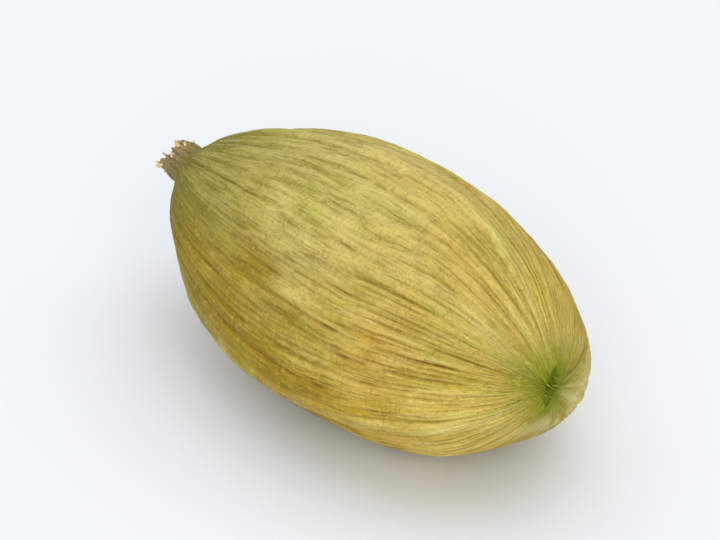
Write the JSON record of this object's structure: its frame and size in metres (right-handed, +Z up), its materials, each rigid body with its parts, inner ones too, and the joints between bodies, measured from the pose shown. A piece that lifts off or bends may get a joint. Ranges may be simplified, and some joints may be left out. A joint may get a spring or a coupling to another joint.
{
  "type": "green cardamom pod",
  "caption": "Dried green cardamom pod lying on its side, a plump ribbed husk that tapers to a broken stalk, with a small slit scar at its tip; a whole spice for cooking.",
  "frame": {"origin": "on the surface that the pod lies on, under the middle of its box", "axes": "+X along the pod from the broken stalk to the tip, +Z up, away from the surface it lies on"},
  "size_m": [0.0166, 0.0084, 0.0082],
  "materials": {
    "husk": "dry papery husk, matt with a faint sheen, straw on the ribs and olive green between them"
  },
  "bodies": {
    "root": {"cardamom_pod": "husk"}
  },
  "joints": []
}
